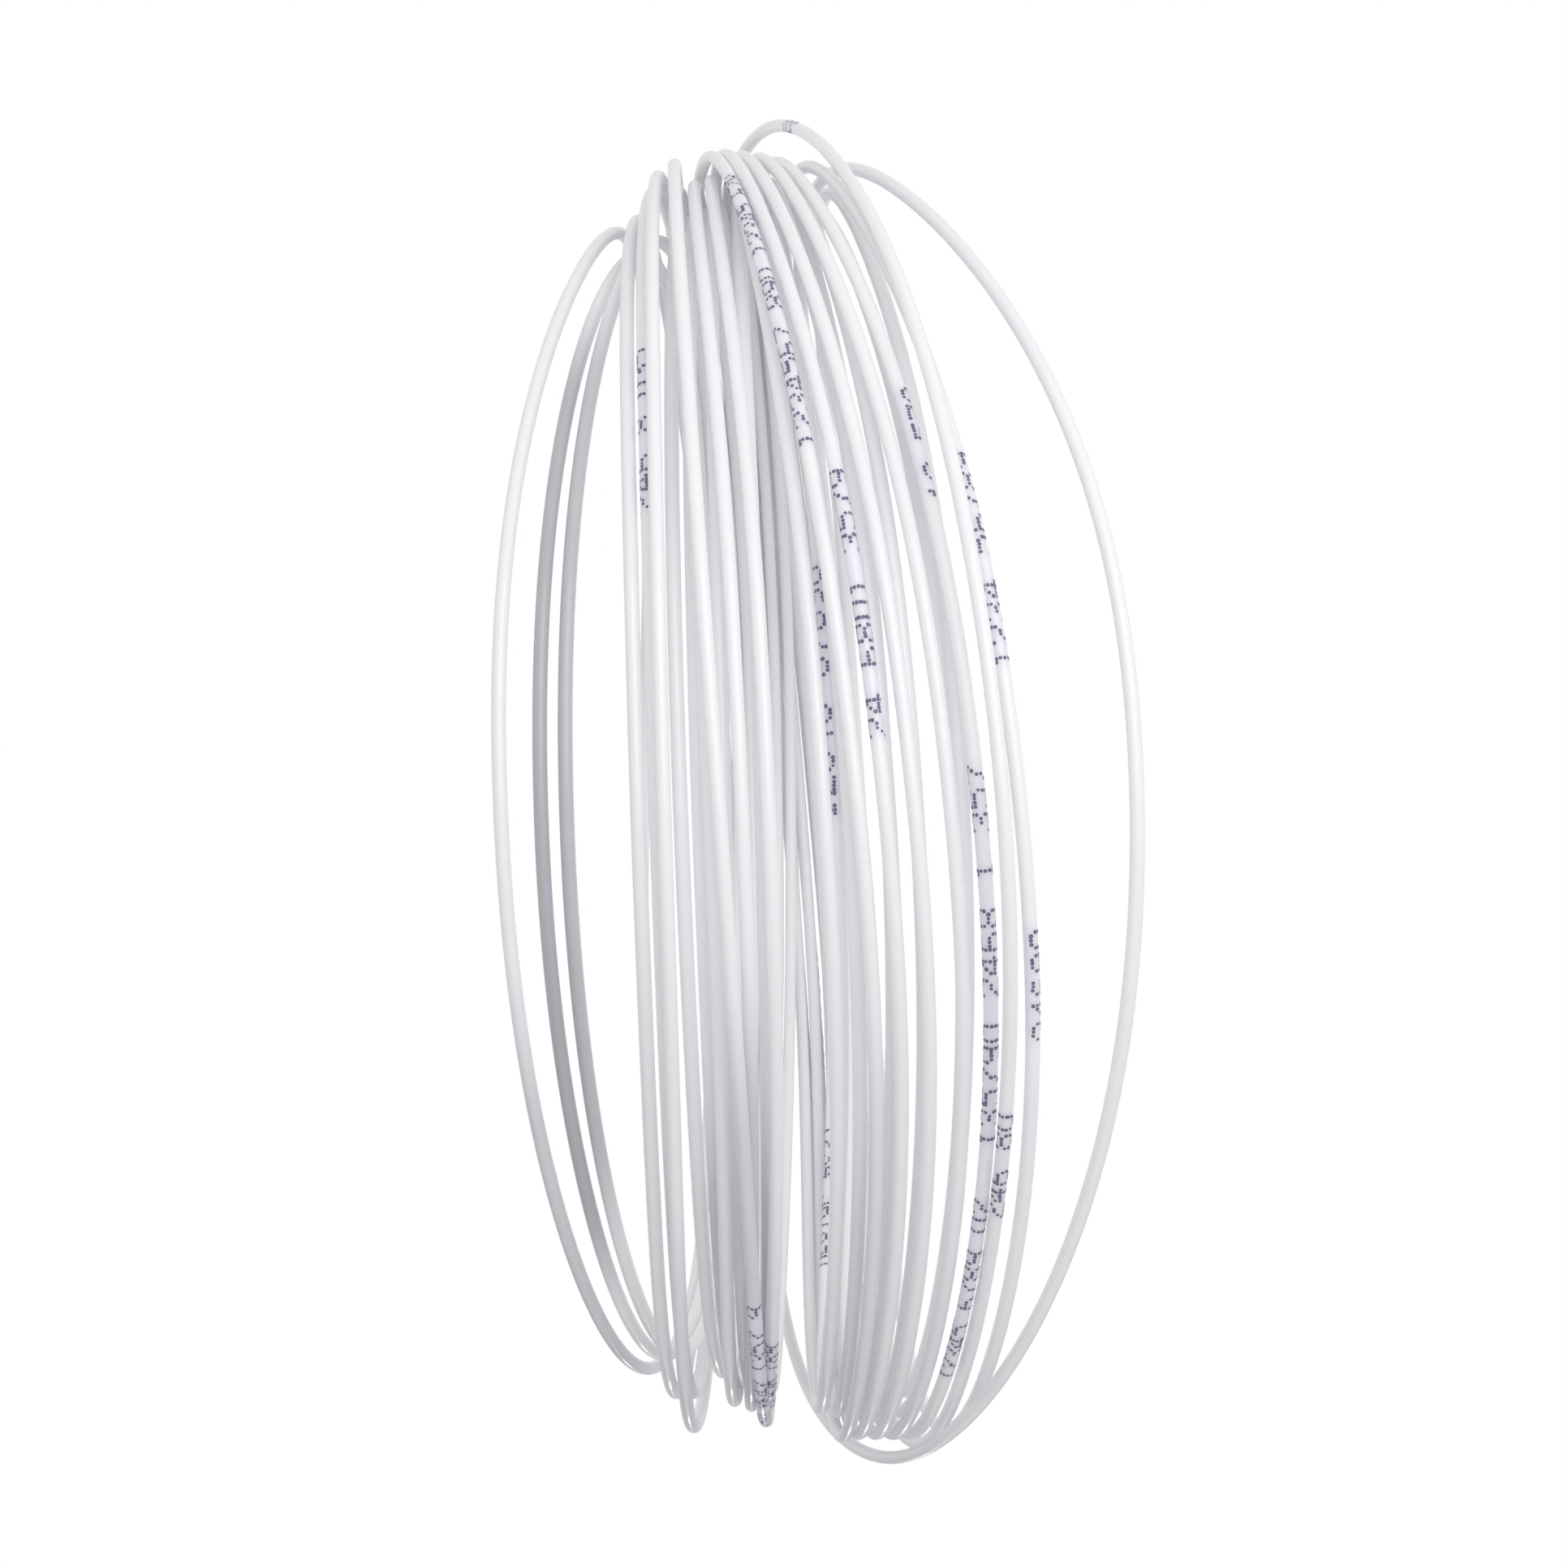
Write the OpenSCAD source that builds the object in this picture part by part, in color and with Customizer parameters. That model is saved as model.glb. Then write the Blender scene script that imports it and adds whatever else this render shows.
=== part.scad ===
// Hank of racket string: one length of round synthetic string in a loose coil.
// The coil is pinched at the top and fans out downwards. Units are mm, +Z is up, and the front is -Y.
// The origin is the hang point, under the bundle at the top of the coil.

/* [String] */
// Diameter of the string
string_d = 1.3; // [1.1:0.05:1.3]
// Straight length of each cut end
end_len = 8; // [4:0.5:12]

/* [Coil] */
// Distance from the coil's centre to the front of its innermost layer
inner_r = 61; // [58:0.5:70]
// Clear space between one layer of turns and the next
layer_gap = 0.7; // [0.7:0.1:1.2]
// How far the turns spread sideways, as a share of their usual spread
fan = 1; // [1:0.05:1.3]
// How far the large loose turn stands out behind the outermost layer
loop_out = 6; // [6:0.5:9]
// How far the last turn stands out in front of the outermost layer
last_out = 3.5; // [3.5:0.5:6]

/* [Hidden] */

// The coil is three layers of ten turns. Each list has a row for each layer, from the inside out,
// and a column for each turn, from left to right. The middle layer was wound from right to left.
LAYERS = 3;
COLS = 10;
TURNS = LAYERS * COLS;
LARGE = TURNS - 2; // the large loose turn, counted from 0
LAST = TURNS - 1; // the last turn, counted from 0

// Sideways place of each turn at its top, its front, its lowest point and its back
TOP_X = [[-15.8, -13.3, -11.8, -9.8, -8.2, -6.5, -4.5, -2, 0, 2.3],
         [-14.2, -12.5, -10.4, -8.8, -7.2, -5.4, -3.7, -2, 0.3, 4],
         [-12.4, -11.1, -8.3, -6.7, -5.2, -3.6, -2, 1.1, 4.2, -5]];
FRONT_X = [[-24.5, -21, -18.8, -9, -7.4, -5.2, -2, 4.3, 8.8, 14.6],
           [-12.6, -11, -6.5, -3.7, -1.4, 3.3, 5.4, 8.8, 11.2, 15.2],
           [-10.3, -5.7, 6.1, 8.4, 10.9, 14, 16.4, 19.9, 30, 16.9]];
LOW_X = [[-12.3, -10.9, -9.4, -5.6, -4.2, -2.7, -1.1, 4, 6.8, 11.6],
         [-10.4, -8.8, -4.8, -3.2, -1.6, 3.4, 5, 6.8, 8.8, 11],
         [-8.7, -1.6, 5.3, 6.8, 8.5, 10.1, 11.7, 15.3, 8.4, 13]];
BACK_X = [[-8.6, -7, -5.4, -3.8, -2.4, -0.8, 0.8, 5.4, 7.2, 9],
          [-8.7, -8.3, -5, -3.4, -1.8, 0.2, 1.8, 3.6, 5.4, 7],
          [-7, -4.4, 0, 1.6, 3.3, 5, 6.7, 8.5, -6, 1]];

// How far each turn's top hangs below its layer's circle, and its lowest point reaches below it
SAG = [[5.5, 7.5, 6, 4, 3, 2.2, 1.8, 1.8, 2.2, 2.8],
       [6, 3.2, 3, 2.5, 2, 1.8, 2, 2.2, 2.8, 3.2],
       [3.6, 2.4, 1.6, 1.4, 1.6, 1.8, 2.2, 2.6, 2.8, -3.5]];
DROP = [[-1.8, -3.2, -3.4, -1.4, -0.2, 0.2, 0.2, 0.5, 0.8, 0.5],
        [-1.4, -1.4, -0.6, -0.1, -0.1, 0.2, 0.5, 0.5, 0.6, 0.5],
        [0, -0.6, 1, 0.7, 0.7, 0.7, 0.7, 0.3, 3.6, 2.4]];

SIDES = 8; // sides of the string's cross-section
RINGS = 28; // rings along one turn, each shared with the next stretch at the turn's ends
STRING_COLOR = [0.93, 0.93, 0.91];

// The hang point, measured from the coil's centre
HANG = [-5, 0, inner_r - 3];

layer_step = string_d + layer_gap;
LAYER_R = [for (layer = [0 : LAYERS - 1]) inner_r + layer * layer_step];

// Place of a turn in its layer's row
function column(k) = (floor(k / COLS) == 1) ? 2 * COLS - 1 - k : k % COLS;

// Four stations on each turn: top, front, lowest point and back
function top_at(k, layer, c) =
    [fan * TOP_X[layer][c], k == LAST ? 28 : 0, LAYER_R[layer] - SAG[layer][c]];
function front_at(k, layer, c) =
    [fan * FRONT_X[layer][c], -LAYER_R[layer] - (k == LAST ? last_out : 0), k == LAST ? 12 : 0];
function low_at(layer, c) = [fan * LOW_X[layer][c], 0, -LAYER_R[layer] - DROP[layer][c]];
function back_y(k) =
    LAYER_R[min(floor((k + 1) / COLS), LAYERS - 1)] + (k == LARGE ? loop_out : k == LAST ? 4 : 0);
function back_at(k, layer, c) = [fan * BACK_X[layer][c], back_y(k), k == LARGE ? -8 : 0];

// The string starts inside the coil's back, and its last turn ends straight up at the back
START = [-16.2 * fan, inner_r - 14, -6];
BEFORE = top_at(0, 0, 0) - [0, 21, 72];
AFTER = [fan * LOW_X[LAYERS - 1][COLS - 1], 0, inner_r + 9];

STATIONS = concat(
    [BEFORE, START],
    [for (k = [0 : TURNS - 1])
        let (layer = floor(k / COLS), c = column(k))
            each [top_at(k, layer, c), front_at(k, layer, c), low_at(layer, c), back_at(k, layer, c)]],
    [AFTER]);
P = [for (p = STATIONS) p - HANG];

// An ellipse's arc through three stations a quarter turn apart, and the direction it runs in
function arc(a, b, c, t) =
    let (m = (a + c) / 2) m + (b - m) * cos(90 * t) + (c - a) / 2 * sin(90 * t);
function arc_run(a, b, c, t) =
    let (m = (a + c) / 2) (c - a) / 2 * cos(90 * t) - (b - m) * sin(90 * t);

// The string's middle line and its direction, s quarter turns after the first top. Each quarter
// turns gradually from the arc about its first station into the arc about its second one.
function quarter(s) = min(max(floor(s), -1), 4 * TURNS - 2);
function route(s) =
    let (i = quarter(s), j = i + 2, t = s - i, w = pow(sin(90 * t), 2))
        arc(P[j - 1], P[j], P[j + 1], t) * (1 - w) + arc(P[j], P[j + 1], P[j + 2], t - 1) * w;
function heading(s) =
    let (i = quarter(s), j = i + 2, t = s - i, w = pow(sin(90 * t), 2),
         v = arc_run(P[j - 1], P[j], P[j + 1], t) * (1 - w)
             + arc_run(P[j], P[j + 1], P[j + 2], t - 1) * w
             + (arc(P[j], P[j + 1], P[j + 2], t - 1) - arc(P[j - 1], P[j], P[j + 1], t)) * sin(180 * t))
        v / norm(v);

// One ring of the string's surface, square to the middle line
function ring(s) =
    let (p = route(s), h = heading(s), side = [1, 0, 0] - h * h[0], u = side / norm(side), v = cross(h, u))
        [for (q = [0 : SIDES - 1])
            let (a = (q + 0.5) * 360 / SIDES)
                p + (u * cos(a) + v * sin(a)) * string_d / 2];

// A stretch of the string between two places on its route
module stretch(s0, s1) {
    points = [for (n = [0 : RINGS]) each ring(s0 + (s1 - s0) * n / RINGS)];
    walls = [for (n = [0 : RINGS - 1], q = [0 : SIDES - 1])
        let (a = n * SIDES + q, b = n * SIDES + (q + 1) % SIDES)
            each [[a, a + SIDES, b], [b, a + SIDES, b + SIDES]]];
    start = [[for (q = [0 : SIDES - 1]) q]];
    finish = [[for (q = [SIDES - 1 : -1 : 0]) RINGS * SIDES + q]];
    polyhedron(points, concat(start, walls, finish), convexity = 4);
}

// One turn, from the back of the coil over the top and down the front to the back again
module turn(k) {
    color(STRING_COLOR)
        stretch(4 * k - 1, 4 * k + 3);
}

// A straight round cut end that leaves the place p in the direction d
module cut_end(p, d) {
    color(STRING_COLOR)
        translate(p)
            rotate([0, acos(d[2] / norm(d)), atan2(d[1], d[0])])
                cylinder(d = string_d, h = end_len, $fn = 48);
}

module leading_end() {
    cut_end(route(-1), -heading(-1));
}

module trailing_end() {
    cut_end(route(4 * TURNS - 1), heading(4 * TURNS - 1));
}

module turn_01() { turn(0); }
module turn_02() { turn(1); }
module turn_03() { turn(2); }
module turn_04() { turn(3); }
module turn_05() { turn(4); }
module turn_06() { turn(5); }
module turn_07() { turn(6); }
module turn_08() { turn(7); }
module turn_09() { turn(8); }
module turn_10() { turn(9); }
module turn_11() { turn(10); }
module turn_12() { turn(11); }
module turn_13() { turn(12); }
module turn_14() { turn(13); }
module turn_15() { turn(14); }
module turn_16() { turn(15); }
module turn_17() { turn(16); }
module turn_18() { turn(17); }
module turn_19() { turn(18); }
module turn_20() { turn(19); }
module turn_21() { turn(20); }
module turn_22() { turn(21); }
module turn_23() { turn(22); }
module turn_24() { turn(23); }
module turn_25() { turn(24); }
module turn_26() { turn(25); }
module turn_27() { turn(26); }
module turn_28() { turn(27); }
module turn_29() { turn(28); }
module turn_30() { turn(29); }

leading_end();
turn_01();
turn_02();
turn_03();
turn_04();
turn_05();
turn_06();
turn_07();
turn_08();
turn_09();
turn_10();
turn_11();
turn_12();
turn_13();
turn_14();
turn_15();
turn_16();
turn_17();
turn_18();
turn_19();
turn_20();
turn_21();
turn_22();
turn_23();
turn_24();
turn_25();
turn_26();
turn_27();
turn_28();
turn_29();
turn_30();
trailing_end();
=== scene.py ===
# %% [markdown]
# # A loose coil of racket string
# The object is one length of round white string, taken out of its packet. Its thirty turns are
# pinched together at the top and fan out downwards. It has no core, clip or tie, so all of its
# character is in the route that the string takes, in its smooth milky surface and in the small ink
# numerals that run along it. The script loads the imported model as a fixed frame, lays one long tube
# along the route of the model's turns, prints the numerals on it and lights it softly on white.

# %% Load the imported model
import math

import bpy
import numpy as np
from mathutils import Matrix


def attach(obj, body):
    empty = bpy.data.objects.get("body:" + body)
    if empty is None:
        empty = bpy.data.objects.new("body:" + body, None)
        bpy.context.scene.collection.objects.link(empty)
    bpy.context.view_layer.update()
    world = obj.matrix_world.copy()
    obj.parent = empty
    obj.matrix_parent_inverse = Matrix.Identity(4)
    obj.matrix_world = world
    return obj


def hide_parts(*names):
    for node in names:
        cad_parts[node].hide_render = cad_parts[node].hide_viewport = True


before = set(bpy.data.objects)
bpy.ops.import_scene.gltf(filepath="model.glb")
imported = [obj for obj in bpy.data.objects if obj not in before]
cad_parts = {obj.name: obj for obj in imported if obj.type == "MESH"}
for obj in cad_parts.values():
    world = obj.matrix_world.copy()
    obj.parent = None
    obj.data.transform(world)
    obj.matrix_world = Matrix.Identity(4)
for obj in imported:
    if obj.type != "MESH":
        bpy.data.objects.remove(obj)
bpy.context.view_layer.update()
scene = bpy.context.scene

# %% [markdown]
# ## The camera
# A coil this small is seen from close by, so its near strands look clearly wider than its far ones.
# The camera stands level with the coil's centre, 0.38 m in front of it, with an 85 mm lens. A
# tilted camera would make the fan of strands lean, so it looks straight along +Y.

# %% Camera
MM = 0.001
INNER_R = 61.0  # mm, from the coil's centre to the front of its innermost layer
HANG = np.array([-5.0, 0.0, INNER_R - 3.0])  # mm, the hang point as seen from the coil's centre
CENTRE = -HANG * MM  # the coil's centre in the frame, whose origin is the hang point
CAMERA_DISTANCE = 0.38  # m
FOCAL_LENGTH = 85  # mm
FILM_WIDTH = 36  # mm

camera = bpy.data.objects.new("camera", bpy.data.cameras.new("camera"))
camera.data.lens = FOCAL_LENGTH
camera.data.sensor_width = FILM_WIDTH
camera.data.clip_start = 0.01
camera.location = CENTRE + np.array([0, -CAMERA_DISTANCE, 0])
camera.rotation_euler = (math.radians(90), 0, 0)
scene.collection.objects.link(camera)
scene.camera = camera
print("camera at", tuple(round(v, 4) for v in camera.location))

# %% [markdown]
# ## The route of the string
# A coil could be drawn as a plain helix, but then every turn would have the same size and place,
# and the coil would look machine-made. Each turn here has four stations of its own, at its top,
# its front, its lowest point and its back, on one of three layers. The lists are in millimetres.
# Each has a row for each layer, from the inside out, and a column for each turn, from left to
# right. The middle layer was wound back from right to left.

# %% Stations of the thirty turns
LAYERS = 3
COLS = 10
TURNS = LAYERS * COLS
STRING_D = 1.3  # mm
LAYER_GAP = 0.7  # mm between one layer and the next
LAYER_R = [INNER_R + layer * (STRING_D + LAYER_GAP) for layer in range(LAYERS)]

# Sideways place of each turn at its top, its front, its lowest point and its back
TOP_X = [[-15.8, -13.3, -11.8, -9.8, -8.2, -6.5, -4.5, -2, 0, 2.3],
         [-14.2, -12.5, -10.4, -8.8, -7.2, -5.4, -3.7, -2, 0.3, 4],
         [-12.4, -11.1, -8.3, -6.7, -5.2, -3.6, -2, 1.1, 4.2, -5]]
FRONT_X = [[-24.5, -21, -18.8, -9, -7.4, -5.2, -2, 4.3, 8.8, 14.6],
           [-12.6, -11, -6.5, -3.7, -1.4, 3.3, 5.4, 8.8, 11.2, 15.2],
           [-10.3, -5.7, 6.1, 8.4, 10.9, 14, 16.4, 19.9, 30, 16.9]]
LOW_X = [[-12.3, -10.9, -9.4, -5.6, -4.2, -2.7, -1.1, 4, 6.8, 11.6],
         [-10.4, -8.8, -4.8, -3.2, -1.6, 3.4, 5, 6.8, 8.8, 11],
         [-8.7, -1.6, 5.3, 6.8, 8.5, 10.1, 11.7, 15.3, 8.4, 13]]
BACK_X = [[-8.6, -7, -5.4, -3.8, -2.4, -0.8, 0.8, 5.4, 7.2, 9],
          [-8.7, -8.3, -5, -3.4, -1.8, 0.2, 1.8, 3.6, 5.4, 7],
          [-7, -4.4, 0, 1.6, 3.3, 5, 6.7, 8.5, -6, 1]]

# How far each turn's top hangs below its layer's circle, and its lowest point reaches below it
SAG = [[5.5, 7.5, 6, 4, 3, 2.2, 1.8, 1.8, 2.2, 2.8],
       [6, 3.2, 3, 2.5, 2, 1.8, 2, 2.2, 2.8, 3.2],
       [3.6, 2.4, 1.6, 1.4, 1.6, 1.8, 2.2, 2.6, 2.8, -3.5]]
DROP = [[-1.8, -3.2, -3.4, -1.4, -0.2, 0.2, 0.2, 0.5, 0.8, 0.5],
        [-1.4, -1.4, -0.6, -0.1, -0.1, 0.2, 0.5, 0.5, 0.6, 0.5],
        [0, -0.6, 1, 0.7, 0.7, 0.7, 0.7, 0.3, 3.6, 2.4]]

# %% [markdown]
# ## Two turns out of line, and the string's start and finish
# Real coils are never quite regular. The last turn but one is a large loose one that forms the
# right side of the coil, and the last one crosses over the top of the bundle in front. The first
# turn starts inside the coil's back, and the last one ends straight up at the back.

# %% Places of the large turn, the last turn and the ends
LARGE = TURNS - 2  # the large loose turn, counted from 0
LAST = TURNS - 1  # the last turn, counted from 0
BACK_OUT = {LARGE: 6, LAST: 4}  # how far these two stand out behind the outermost layer
LARGE_BACK_Z = -8
LAST_TOP_Y = 28
LAST_FRONT_OUT = 3.5  # how far the last turn stands out in front of the outermost layer
LAST_FRONT_Z = 12
BEFORE_FIRST_TOP = (0, 21, 72)  # from the station before the start to the first top
START = (-16.2, INNER_R - 14, -6)
FINISH = (LOW_X[-1][-1], 0, INNER_R + 9)


def four_stations(k):
    """The top, front, lowest point and back of turn k, in mm from the coil's centre."""
    layer = k // COLS
    col = 2 * COLS - 1 - k if layer == 1 else k % COLS
    r = LAYER_R[layer]
    back_y = LAYER_R[min((k + 1) // COLS, LAYERS - 1)] + BACK_OUT.get(k, 0)
    top_y = front_out = front_z = back_z = 0
    if k == LARGE:
        back_z = LARGE_BACK_Z
    if k == LAST:
        top_y, front_out, front_z = LAST_TOP_Y, LAST_FRONT_OUT, LAST_FRONT_Z
    return [[TOP_X[layer][col], top_y, r - SAG[layer][col]],
            [FRONT_X[layer][col], -r - front_out, front_z],
            [LOW_X[layer][col], 0, -r - DROP[layer][col]],
            [BACK_X[layer][col], back_y, back_z]]


marks = [np.subtract(four_stations(0)[0], BEFORE_FIRST_TOP), START]
for k in range(TURNS):
    marks += four_stations(k)
marks.append(FINISH)
stations = (np.array(marks, float) - HANG) * MM
print("stations:", len(stations))

# %% [markdown]
# ## From stations to a smooth line
# Straight lines between the stations would kink, and a general spline would bulge between them. An
# ellipse through three stations a quarter turn apart has the round sweep of a springy string. Two
# such ellipses overlap in every quarter turn, and the route passes gradually from one to the other,
# so it has no corner anywhere.

# %% Route and direction
QUARTER = math.pi / 2


def arc(a, b, c, t):
    """Points on the ellipse through a, b and c, at the angle t after b."""
    m = (a + c) / 2
    return m + (b - m) * np.cos(t) + (c - a) / 2 * np.sin(t)


def arc_run(a, b, c, t):
    """The direction in which that ellipse runs on at the angle t."""
    m = (a + c) / 2
    return (c - a) / 2 * np.cos(t) - (b - m) * np.sin(t)


def route(s):
    """Points and directions of the string, s quarter turns after the first top."""
    i = np.clip(np.floor(s), -1, 4 * TURNS - 2).astype(int)
    a, b, c, d = stations[i + 1], stations[i + 2], stations[i + 3], stations[i + 4]
    t = ((s - i) * QUARTER)[:, None]
    w = np.sin(t) ** 2
    one, two = arc(a, b, c, t), arc(b, c, d, t - QUARTER)
    run = (arc_run(a, b, c, t) * (1 - w) + arc_run(b, c, d, t - QUARTER) * w
           + (two - one) * np.sin(2 * t))
    return one * (1 - w) + two * w, run / np.linalg.norm(run, axis=1, keepdims=True)


# %% [markdown]
# ## The whole path, with its two straight ends
# The ends of a cut string stay straight for a few millimetres, so each one leaves the curve along
# its own direction. The path then has 180 points on each turn, about one every 2 mm.

# %% Path of the string
END_LENGTH = 8.0  # mm of each straight cut end
END_STEPS = 5
POINTS_PER_QUARTER = 45

s_turns = np.linspace(-1, 4 * TURNS - 1, 4 * TURNS * POINTS_PER_QUARTER + 1)
curve_points, curve_runs = route(s_turns)
steps = (np.arange(1, END_STEPS + 1) / END_STEPS * END_LENGTH * MM)[:, None]
lead = (curve_points[0] - curve_runs[0] * steps)[::-1]
trail = curve_points[-1] + curve_runs[-1] * steps
path = np.vstack([lead, curve_points, trail])
runs = np.vstack([np.repeat(curve_runs[:1], END_STEPS, 0), curve_runs,
                  np.repeat(curve_runs[-1:], END_STEPS, 0)])
s_path = np.concatenate([np.full(END_STEPS, s_turns[0]), s_turns, np.full(END_STEPS, s_turns[-1])])
along = np.concatenate([[0], np.cumsum(np.linalg.norm(np.diff(path, axis=0), axis=1))])
length = float(along[-1])
print(f"string: {length:.3f} m in {len(path)} points")


# %% [markdown]
# ## Places along the string
# Everything that lies on the string needs a place along it. A place is given as a turn and a number
# of quarter turns from that turn's top, because that is easy to find on the coil. It is then
# changed into metres from the string's start.

# %% Distances and soft masks
def metres_at(turn, quarters):
    """Metres along the path to a place, with the turns counted from 1."""
    return float(np.interp(4 * (turn - 1) + quarters, s_path, along))


def mask(first, last, soft):
    """1 between two distances along the path, falling gradually to 0 over the distance soft."""
    rise = np.clip(np.minimum(along - first, last - along) / soft, 0, 1)
    return rise * rise * (3 - 2 * rise)


# %% [markdown]
# ## Tone and painted shade along the string
# Nylon string isn't equally milky along its whole length. Without changes of tone, all strands of the
# bundle would have one tone and melt together. Small random changes along the whole string come from
# a
# fixed seed. The table adds painted shade: greyer stretches, mostly on the lower front of the turns,
# along the small turns at the left and near a few tops. The greyest are on the small turns at the
# left.

# %% Tone and painted shade along the string
KNOTS = 80  # evenly spaced places, each with a small random change of tone of its own
KNOT_CLEARNESS = 0.15  # the largest of them
KNOT_SEED = 3
PAINTED_SHADE_EDGE = 0.025  # m over which a stretch of painted shade begins and ends
PAINTED_SHADE_STRETCHES = [  # turn, first and last quarter turn, how much painted shade greys it
    (1, 1.1, 2.0, 0.48), (2, 0.3, 1.7, 0.85), (3, 0.3, 1.6, 0.75), (21, 1.3, 2.0, 0.35),
    (22, 1.1, 1.9, 0.45), (23, 1.1, 2.0, 0.35), (5, 1.2, 2.0, 0.5), (19, 1.2, 2.0, 0.3),
    (17, 1.1, 2.0, 0.5), (7, 1.2, 2.0, 0.5), (4, 0.1, 0.6, 0.3), (26, 1.3, 2.0, 0.25),
    (14, 1.2, 1.9, 0.3), (20, 0.1, 0.5, 0.25), (29, 0.0, 0.8, 0.22), (30, 0.0, 0.5, 0.15)]

small_changes = KNOT_CLEARNESS * np.random.default_rng(KNOT_SEED).random(KNOTS) ** 2
tone_and_shade = np.interp(along, np.linspace(0, length, KNOTS), small_changes)
# Painted shade: these listed stretches of the string are greyed to stand in for shade.
for turn, first, last, amount in PAINTED_SHADE_STRETCHES:
    tone_and_shade += amount * mask(metres_at(turn, first), metres_at(turn, last), PAINTED_SHADE_EDGE)
print(len(PAINTED_SHADE_STRETCHES), f"shaded stretches, clearness {tone_and_shade.min():.2f} to {tone_and_shade.max():.2f}")

# %% [markdown]
# ## Printed stretches
# The numerals read against the direction of the winding, so each printed run starts at its later
# end. The angle says which way the run faces: 90 degrees is outwards, 0 is to the right and 270 is
# inwards. The ground of a printed run has a faint violet haze of its own, which is laid down here
# as a second mask along the path.

# %% Printed runs
LETTER = 2.05  # mm from one numeral to the next
HAZE_BEFORE = 0.4  # letters of haze past the last numeral
HAZE_AFTER = 0.001  # m of haze past the first one
HAZE_EDGE = 0.002  # m over which the haze begins and ends
PRINTED = [  # turn, quarter turn of the first numeral, angle in degrees, numerals
    (23, 0.70, 80, "1234567 890 12345 678"), (24, 0.96, 85, "24 6801 3579"),
    (28, 0.90, 65, "1234 56789"), (28, 1.22, -12, "24680"),
    (27, 0.75, -20, "13 579"), (27, 1.32, 88, "135790 2468 1 357"),
    (27, 1.63, 90, "12345 6789 02"), (30, 1.47, 115, "246 80"),
    (30, 0.30, 190, "357"), (8, 1.03, 190, "12345 67890"),
    (8, 2.55, 265, "1234 567890"), (1, -0.21, 270, "1234 567 890"),
    (16, 1.84, 95, "123 456 789"), (22, 1.86, 75, "97531 8642 1357 9"),
    (29, 3.1, 90, "1234567 890 12345"), (27, 3.0, 60, "24680 135"),
    (12, 3.1, 100, "12345 6789"), (19, 2.9, 80, "13579 246"),
    (24, 2.8, 110, "1234 567"), (19, 0.745, 128, "246 8 035")]

haze = np.zeros(len(path))
for turn, end, angle, text in PRINTED:
    stop = metres_at(turn, end)
    begin = stop - (len(text) + HAZE_BEFORE) * LETTER * MM
    haze = np.maximum(haze, mask(begin, stop + HAZE_AFTER, HAZE_EDGE))
print(len(PRINTED), f"printed runs, haze on {(haze > 0).mean():.0%} of the string")

# %% [markdown]
# ## Helpers for node trees
# Shader maths reads best as plain sums and products. The class below wraps a socket, so that
# `1 - mask` or `a * b + c` builds the Math nodes by itself. Every other node comes from one method
# that takes the node's type, its settings and the values or links of its sockets.


# %% Node helpers
class Value:
    """A socket of a node tree, with the usual operators on it."""

    def __init__(self, tree, socket):
        self.tree, self.socket = tree, socket

    def math(self, operation, *others):
        return self.tree.node("ShaderNodeMath", {"operation": operation}, [self, *others])

    def __add__(self, other):
        return self.math("ADD", other)

    __radd__ = __add__

    def __mul__(self, other):
        return self.math("MULTIPLY", other)

    __rmul__ = __mul__

    def __sub__(self, other):
        return self.math("SUBTRACT", other)

    def __rsub__(self, other):
        return self * -1 + other

    def __truediv__(self, other):
        return self.math("DIVIDE", other)


class Tree:
    """Adds nodes to a node tree and links them."""

    def __init__(self, nodes_and_links):
        self.tree = nodes_and_links

    def put(self, socket, value):
        if isinstance(value, Value):
            self.tree.links.new(value.socket, socket)
        else:
            socket.default_value = value

    def make(self, kind, settings=None, inputs=()):
        """A new node, with inputs given by place in a list or by name in a dictionary.

        The setting stops gives a ramp's two stops, each as a place and a colour."""
        new = self.tree.nodes.new(kind)
        for name, value in (settings or {}).items():
            if name == "stops":
                for stop, (place, colour) in zip(new.color_ramp.elements, value):
                    stop.position, stop.color = place, (*colour, 1)
            else:
                setattr(new, name, value)
        pairs = inputs.items() if isinstance(inputs, dict) else enumerate(inputs)
        for key, value in pairs:
            self.put(new.inputs[key], value)
        return new

    def node(self, kind, settings=None, inputs=(), output=0):
        return Value(self, self.make(kind, settings, inputs).outputs[output])


# %% [markdown]
# ## The string's surface
# The real string is nylon, milky rather than painted, so light goes a little way in and softens the
# shade on each strand. A plain white would look like plaster. The surface scatters light about as
# deep as the string is thick, and it has a thin clear coat. Its tone comes from the masks along the
# path, one of which also carries painted shade, and a faint cloudiness. A fine grain keeps the gloss
# from looking like glass.

# %% Helpers for materials
def new_material(name):
    """An empty material and its node tree."""
    material = bpy.data.materials.new(name)
    material.use_nodes = True
    material.node_tree.nodes.clear()
    return material, Tree(material.node_tree)


def attribute(tree, name):
    """The value that a mesh's points carry under this name."""
    return tree.node("ShaderNodeAttribute", {"attribute_name": name}, output="Fac")


def object_noise(tree, scale, detail=2.0):
    """Noise that is fixed to the object, from about 0 to 1."""
    spot = tree.node("ShaderNodeTexCoord", output="Object")
    return tree.node("ShaderNodeTexNoise", inputs={
        "Vector": spot, "Scale": scale, "Detail": detail})


# %% Material of the string
MILKY = (0.988, 0.991, 1.0)
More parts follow.
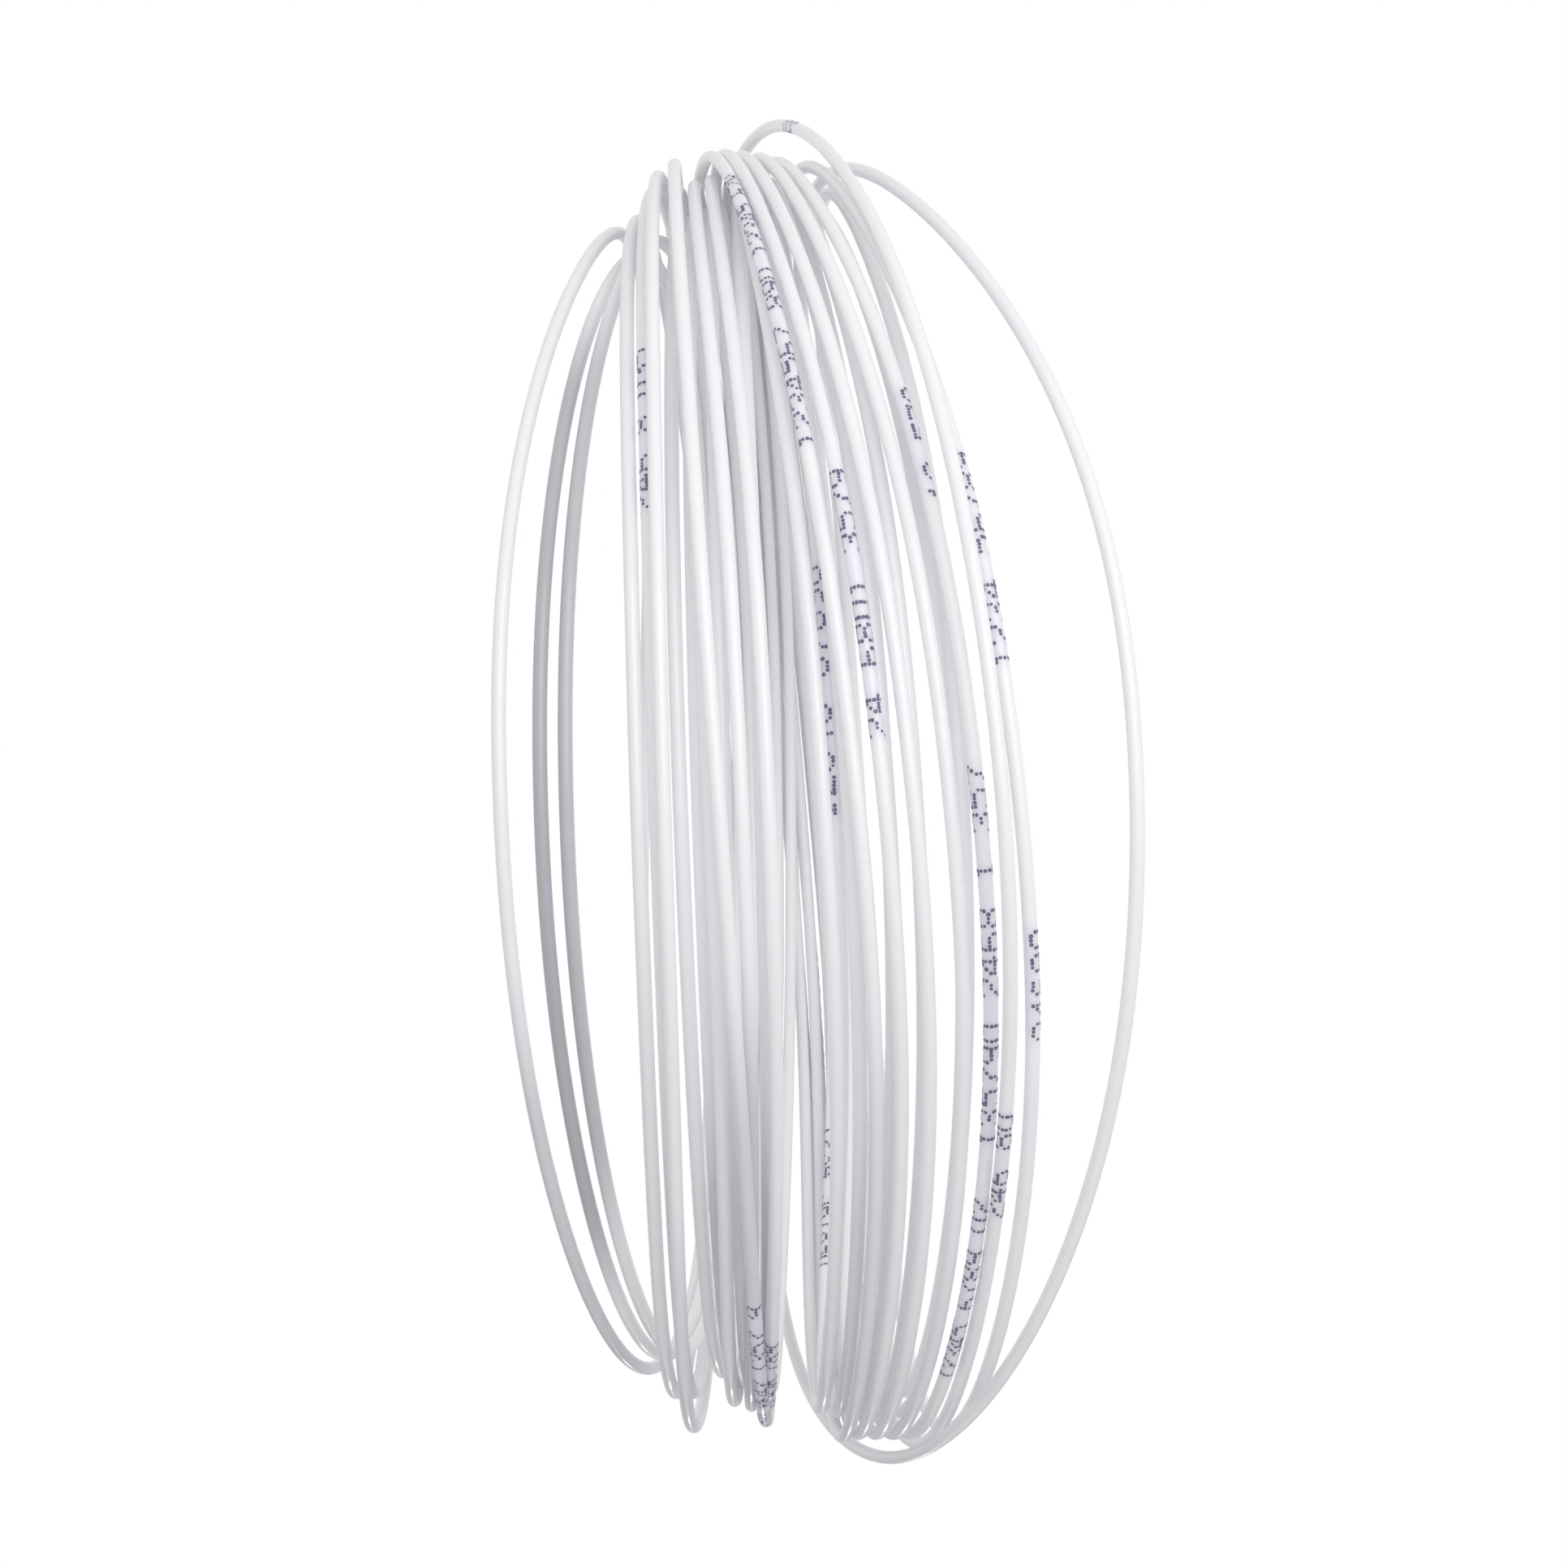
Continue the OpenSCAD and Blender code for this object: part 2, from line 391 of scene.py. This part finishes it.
# The grey end of the tone ramp, for random tone and for painted shade.
GREY_TONE_AND_SHADE = (0.40, 0.41, 0.43)
PRINT_GROUND = (0.80, 0.80, 0.93)
HAZE_SHARE = 0.75  # how far a printed run's ground takes that colour
CLOUD_SCALE, CLOUD_SHARE = 45.0, 0.10  # patches of about 2 cm
GRAIN_SCALE, GRAIN_SHARE = 1200.0, 0.08  # specks of just under 1 mm
ROUGHNESS = 0.30
NYLON_IOR = 1.5
SCATTER_DEPTH = 0.0014  # m
COAT = 0.35
COAT_ROUGHNESS = 0.06

string_finish, t = new_material("milky string")
cloud = object_noise(t, CLOUD_SCALE, 3.0)
grain = object_noise(t, GRAIN_SCALE)
# The clear attribute holds random tone and painted shade, which grey the milky base colour.
tone = t.node("ShaderNodeValToRGB", {"stops": [(0.0, MILKY), (1.0, GREY_TONE_AND_SHADE)]}, [
    attribute(t, "clear") + (cloud - 0.5) * CLOUD_SHARE])
tone = t.node("ShaderNodeMix", {"data_type": "RGBA"}, {
    0: attribute(t, "haze") * HAZE_SHARE, 6: tone, 7: (*PRINT_GROUND, 1)}, output=2)
skin = t.node("ShaderNodeBsdfPrincipled", {"subsurface_method": "RANDOM_WALK"}, {
    "Base Color": tone, "Roughness": ROUGHNESS + (grain - 0.5) * GRAIN_SHARE,
    "IOR": NYLON_IOR, "Subsurface Weight": 1.0, "Subsurface Scale": SCATTER_DEPTH,
    "Subsurface Radius": (1.0, 1.0, 1.0), "Coat Weight": COAT,
    "Coat Roughness": COAT_ROUGHNESS})
t.make("ShaderNodeOutputMaterial", inputs=[skin])
print("string finish:", len(string_finish.node_tree.nodes), "nodes")

# %% [markdown]
# ## One long tube
# The string is a circle swept along the path. Geometry Nodes do the sweep: the path's points become
# a curve, the curve carries a circle, and the result gets its material. The two masks are stored as
# attributes on the path's points, and the sweep hands them on to the tube, where the material reads
# them.


# %% Tools for Geometry Nodes
def new_tree(name, sizes):
    """A geometry tree with one geometry input and the named number inputs in sizes."""
    tree = bpy.data.node_groups.new(name, "GeometryNodeTree")
    tree.interface.new_socket("Geometry", in_out="INPUT", socket_type="NodeSocketGeometry")
    tree.interface.new_socket("Geometry", in_out="OUTPUT", socket_type="NodeSocketGeometry")
    for label, value in sizes.items():
        kind = "NodeSocketInt" if isinstance(value, int) else "NodeSocketFloat"
        tree.interface.new_socket(label, in_out="INPUT", socket_type=kind)
    builder = Tree(tree)
    given = builder.make("NodeGroupInput")
    return tree, builder, {label: Value(builder, given.outputs[label])
                           for label in ["Geometry", *sizes]}


def finish_tree(builder, geometry, material):
    """End a tree with real meshes instead of instances, and with their material."""
    solid = builder.node("GeometryNodeRealizeInstances", inputs=[geometry])
    dressed = builder.node("GeometryNodeSetMaterial", inputs={
        "Geometry": solid, "Material": material})
    builder.make("NodeGroupOutput", inputs=[dressed])


def bake(source, tree, sizes, name):
    """Run the tree on the source mesh with these sizes and return the result as a plain object."""
    holder = bpy.data.objects.new(name + "_source", source)
    scene.collection.objects.link(holder)
    modifier = holder.modifiers.new("nodes", "NODES")
    modifier.node_group = tree
    for item in tree.interface.items_tree:
        if item.in_out == "INPUT" and item.name in sizes:
            modifier[item.identifier] = sizes[item.name]
    graph = bpy.context.evaluated_depsgraph_get()
    mesh = bpy.data.meshes.new_from_object(holder.evaluated_get(graph), depsgraph=graph)
    bpy.data.objects.remove(holder)
    made = bpy.data.objects.new(name, mesh)
    mesh.name = name
    scene.collection.objects.link(made)
    print(f"{name} mesh:", len(mesh.vertices), "points,", len(mesh.polygons), "faces")
    return made


# %% Sweep the string
string_sizes = {"Radius": STRING_D / 2 * MM, "Sides": 16}
tree, g, given = new_tree("string sweep", string_sizes)
line = g.node("GeometryNodeMeshToCurve", inputs=[given["Geometry"]])
circle = g.node("GeometryNodeCurvePrimitiveCircle", inputs={
    "Resolution": given["Sides"], "Radius": given["Radius"]})
tube = g.node("GeometryNodeCurveToMesh", inputs={
    "Curve": line, "Profile Curve": circle, "Fill Caps": True})
smooth = g.node("GeometryNodeSetShadeSmooth", inputs={"Geometry": tube})
finish_tree(g, smooth, string_finish)

path_mesh = bpy.data.meshes.new("path")
path_mesh.from_pydata(path.tolist(), [(n, n + 1) for n in range(len(path) - 1)], [])
# The clear attribute carries random tone and painted shade along the string.
path_mesh.attributes.new("clear", "FLOAT", "POINT").data.foreach_set("value", tone_and_shade)
path_mesh.attributes.new("haze", "FLOAT", "POINT").data.foreach_set("value", haze)
string = bake(path_mesh, tree, string_sizes, "string")

# %% [markdown]
# ## The printed numerals
# An ink jet prints on string as it runs past, one column of tiny drops after another. Smooth
# letters would look like a sticker, so each numeral here is a grid of five by seven separate drops.
# They wrap round the string, so only part of each numeral is seen at once.

# %% Numerals as dots
FONT = {"0": "01110 10001 10001 10001 10001 10001 01110",
        "1": "00100 01100 00100 00100 00100 00100 01110",
        "2": "01110 10001 00001 00110 01000 10000 11111",
        "3": "01110 10001 00001 00110 00001 10001 01110",
        "4": "00010 00110 01010 10010 11111 00010 00010",
        "5": "11111 10000 11110 00001 00001 10001 01110",
        "6": "01110 10000 10000 11110 10001 10001 01110",
        "7": "11111 00001 00010 00100 00100 01000 01000",
        "8": "01110 10001 10001 01110 10001 10001 01110",
        "9": "01110 10001 10001 01111 00001 00001 01110"}
MIDDLE_ROW = 3  # counted from 0
COLUMN_STEP = 0.34  # mm along the string
ROW_STEP = 0.38  # mm round it

dots = {numeral: [(row, column) for row, bits in enumerate(rows.split())
                  for column, bit in enumerate(bits) if bit == "1"]
        for numeral, rows in FONT.items()}
drops = []  # each as metres along the string and radians round it
for turn, end, angle, text in PRINTED:
    for number, numeral in enumerate(text):
        for row, column in dots.get(numeral, []):
            drops.append((metres_at(turn, end) - (number * LETTER + column * COLUMN_STEP) * MM,
                          math.radians(angle) + (MIDDLE_ROW - row) * ROW_STEP * 2 / STRING_D))
print("ink drops:", len(drops))

# %% [markdown]
# ## Uneven drops on a round surface
# The jet never hits exactly the same spot twice, so the drops get a small seeded scatter in place
# and in size. Each one lies flat on the string, just clear of it, so it needs to know which way is
# outwards where it lands.

# %% Places of the drops
INK_LIFT = 0.004  # mm above the surface
DROP_SEED = 7
SCATTER = (0.00002, 0.03)  # metres along the string and radians round it
SPREAD = 0.08  # how much the sizes differ
SMALLEST, LARGEST = 0.8, 1.2

rng = np.random.default_rng(DROP_SEED)
drops = np.array(drops) + rng.normal(0, 1, (len(drops), 2)) * SCATTER
centre = np.column_stack([np.interp(drops[:, 0], along, path[:, axis]) for axis in range(3)])
ahead = np.column_stack([np.interp(drops[:, 0], along, runs[:, axis]) for axis in range(3)])
ahead /= np.linalg.norm(ahead, axis=1, keepdims=True)
side = np.array([1, 0, 0]) - ahead * ahead[:, :1]
side /= np.linalg.norm(side, axis=1, keepdims=True)
outward = side * np.cos(drops[:, 1:]) + np.cross(ahead, side) * np.sin(drops[:, 1:])
spread = np.clip(rng.normal(1, SPREAD, len(drops)), SMALLEST, LARGEST)

drop_mesh = bpy.data.meshes.new("drops")
drop_mesh.from_pydata((centre + outward * (STRING_D / 2 + INK_LIFT) * MM).tolist(), [], [])
drop_mesh.attributes.new("outward", "FLOAT_VECTOR", "POINT").data.foreach_set(
    "vector", outward.ravel())
drop_mesh.attributes.new("spread", "FLOAT", "POINT").data.foreach_set("value", spread)
print("drops placed:", len(drop_mesh.vertices))

# %% [markdown]
# ## The ink
# Ink that dries on smooth nylon draws out to the rim of each drop and leaves its middle paler. The
# drop's own mesh stores how far each point lies from its centre, and a ramp turns that into the two
# tones, with a little blotting so that no two drops are alike.

# %% Material of the ink
INK_MIDDLE = (0.27, 0.26, 0.41)
INK_RIM = (0.055, 0.048, 0.14)
BLOT_SCALE, BLOT_SHARE = 2500.0, 0.5  # blots of 0.4 mm
INK_ROUGHNESS = 0.45

ink_finish, t = new_material("violet ink")
blot = object_noise(t, BLOT_SCALE)
ink = t.node("ShaderNodeValToRGB", {"stops": [(0.25, INK_MIDDLE), (0.75, INK_RIM)]}, [
    attribute(t, "rim") + (blot - 0.5) * BLOT_SHARE])
ink_skin = t.node("ShaderNodeBsdfPrincipled", inputs={
    "Base Color": ink, "Roughness": INK_ROUGHNESS + blot * 0.1})
t.make("ShaderNodeOutputMaterial", inputs=[ink_skin])
print("ink finish:", len(ink_finish.node_tree.nodes), "nodes")

# %% Lay the drops on the string
drop_sizes = {"Drop radius": 0.165 * MM, "Corners": 10}
tree, g, given = new_tree("ink drops", drop_sizes)
disc = g.node("GeometryNodeMeshCircle", {"fill_type": "TRIANGLE_FAN"}, {
    "Vertices": given["Corners"], "Radius": given["Drop radius"]})
from_middle = g.node("ShaderNodeVectorMath", {"operation": "LENGTH"}, [
    g.node("GeometryNodeInputPosition")], output="Value")
disc = g.node("GeometryNodeStoreNamedAttribute", {"data_type": "FLOAT", "domain": "POINT"}, {
    "Geometry": disc, "Name": "rim", "Value": from_middle / given["Drop radius"]})
facing = g.node("GeometryNodeInputNamedAttribute", {"data_type": "FLOAT_VECTOR"}, {
    "Name": "outward"})
turned = g.node("FunctionNodeAlignRotationToVector", {"axis": "Z"}, {"Vector": facing})
width = g.node("GeometryNodeInputNamedAttribute", {"data_type": "FLOAT"}, {"Name": "spread"})
laid = g.node("GeometryNodeInstanceOnPoints", inputs={
    "Points": given["Geometry"], "Instance": disc, "Rotation": turned, "Scale": width})
finish_tree(g, laid, ink_finish)
numerals = bake(drop_mesh, tree, drop_sizes, "numerals")

# %% [markdown]
# ## What the pieces stand for
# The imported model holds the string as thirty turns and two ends, one solid each. The one long tube
# replaces them all, because a real string has no seams between its turns. The numerals replace
# nothing. They are ink on the string, so they share its slot.

turn_nodes = [f"turn_{n:02d}" for n in range(1, TURNS + 1)]
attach(string, "root")
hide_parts("leading_end", *turn_nodes, "trailing_end")
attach(numerals, "root")
print("the tube stands for both ends and", len(turn_nodes), "turns")

# %% [markdown]
# ## The floor
# The coil is held up by its hang point, so the floor is no rest for it. It is a plain pale disc
# far below the camera's view. A closer one would throw more light back up and take away the soft
# shade on the undersides of the strands.

# %% Floor
FLOOR_DROP = 0.35  # m below the coil's centre
FLOOR_RADIUS = 0.3  # m
FLOOR_CORNERS = 96
FLOOR_TONE = (0.86, 0.86, 0.86, 1)
FLOOR_ROUGHNESS = 0.6
MOTTLE_SCALE = 30.0  # patches of about 3 cm

floor_mesh = bpy.data.meshes.new("floor")
ring = [(FLOOR_RADIUS * math.cos(a), FLOOR_RADIUS * math.sin(a), CENTRE[2] - FLOOR_DROP)
        for a in np.linspace(0, 2 * math.pi, FLOOR_CORNERS, endpoint=False)]
floor_mesh.from_pydata(ring, [], [list(range(FLOOR_CORNERS))])
floor = bpy.data.objects.new("floor", floor_mesh)
scene.collection.objects.link(floor)
floor_finish, t = new_material("pale floor")
mottle = object_noise(t, MOTTLE_SCALE)
floor_skin = t.node("ShaderNodeBsdfPrincipled", inputs={
    "Base Color": FLOOR_TONE, "Roughness": FLOOR_ROUGHNESS + mottle * 0.1})
t.make("ShaderNodeOutputMaterial", inputs=[floor_skin])
floor_mesh.materials.append(floor_finish)
print(f"floor: {2 * FLOOR_RADIUS} m wide, at a height of {CENTRE[2] - FLOOR_DROP:.3f} m")

# %% [markdown]
# ## Background and surround
# The background is plain white. Light that wraps evenly all round would leave white string on white
# with no edges, so the camera sees white while the string is lit by a dimmer surround. It is
# brightest in front, and a little stronger on the right and at the back than on the left. It is a
# little dimmer above, and it falls off and turns bluish below, so that each strand shades off
# downwards. White strands that lie close together pass light on to each other many times, so light
# may bounce twelve times. With the usual four, the gaps in the bundle would be too dark.

# %% World
LEVEL = 0.81  # the surround's strength straight to the side
FRONT_MORE, RIGHT_MORE, BACK_MORE = 0.18, 0.07, 0.07
ABOVE_LESS, BELOW_LESS = 0.14, 0.70
PLAIN, BLUISH = (1, 1, 1), (0.91, 0.93, 1)
SIDE_TINT = 0.2  # how bluish the surround is where it isn't below
BOUNCES = 12

scene.view_settings.view_transform = "Standard"
scene.cycles.diffuse_bounces = BOUNCES
world = bpy.data.worlds.new("white room")
world.use_nodes = True
world.node_tree.nodes.clear()
scene.world = world
t = Tree(world.node_tree)
towards = t.make("ShaderNodeSeparateXYZ", inputs=[
    t.node("ShaderNodeTexCoord", output="Generated")])
sideways, depth, height = (Value(t, towards.outputs[axis]) for axis in "XYZ")
behind = depth.math("MAXIMUM", 0.0)
ahead = (depth * -1).math("MAXIMUM", 0.0)
below = (height * -1.6).math("MAXIMUM", 0.0).math("MINIMUM", 1.0)
surround = (LEVEL + ahead * ahead * ahead * FRONT_MORE + sideways * RIGHT_MORE
            + behind * BACK_MORE - height * ABOVE_LESS - below * BELOW_LESS)
seen = t.node("ShaderNodeLightPath", output="Is Camera Ray")
tint = t.node("ShaderNodeValToRGB", {"stops": [(0.0, PLAIN), (1.0, BLUISH)]}, [
    (SIDE_TINT + below * (1 - SIDE_TINT)) * (1 - seen)])
backdrop = t.node("ShaderNodeBackground", inputs={
    "Color": tint, "Strength": seen + (1 - seen) * surround})
t.make("ShaderNodeOutputWorld", inputs=[backdrop])
print("world:", len(world.node_tree.nodes), "nodes")


# %% [markdown]
# ## The lamps
# The key lamp is large, so that it casts no hard shadow, and stands in front on the right, where it
# lifts the near strands. The second lamp is tiny, weak and low behind the coil. It adds no shade of
# its own, but the string's coat reflects it as the small glint at the bottom of each turn.

# %% Lamps
def soft_lamp(name, place, size, watts):
    """A round lamp at a place seen from the coil's centre, aimed at that centre."""
    lamp = bpy.data.lights.new(name, "AREA")
    lamp.shape = "DISK"
    lamp.size = size
    lamp.energy = watts
    made = bpy.data.objects.new(name, lamp)
    made.location = CENTRE + np.array(place)
    aim = -np.array(place, float)
    made.rotation_euler = (math.acos(-aim[2] / np.linalg.norm(aim)), 0,
                           math.atan2(aim[1], aim[0]) - math.pi / 2)
    scene.collection.objects.link(made)
    print(f"{name} lamp: {watts} W, {size} m wide")


soft_lamp("key", place=(0.10, -0.35, 0.12), size=0.30, watts=0.38)
soft_lamp("glint", place=(0.0, 0.35, -0.30), size=0.05, watts=0.03)
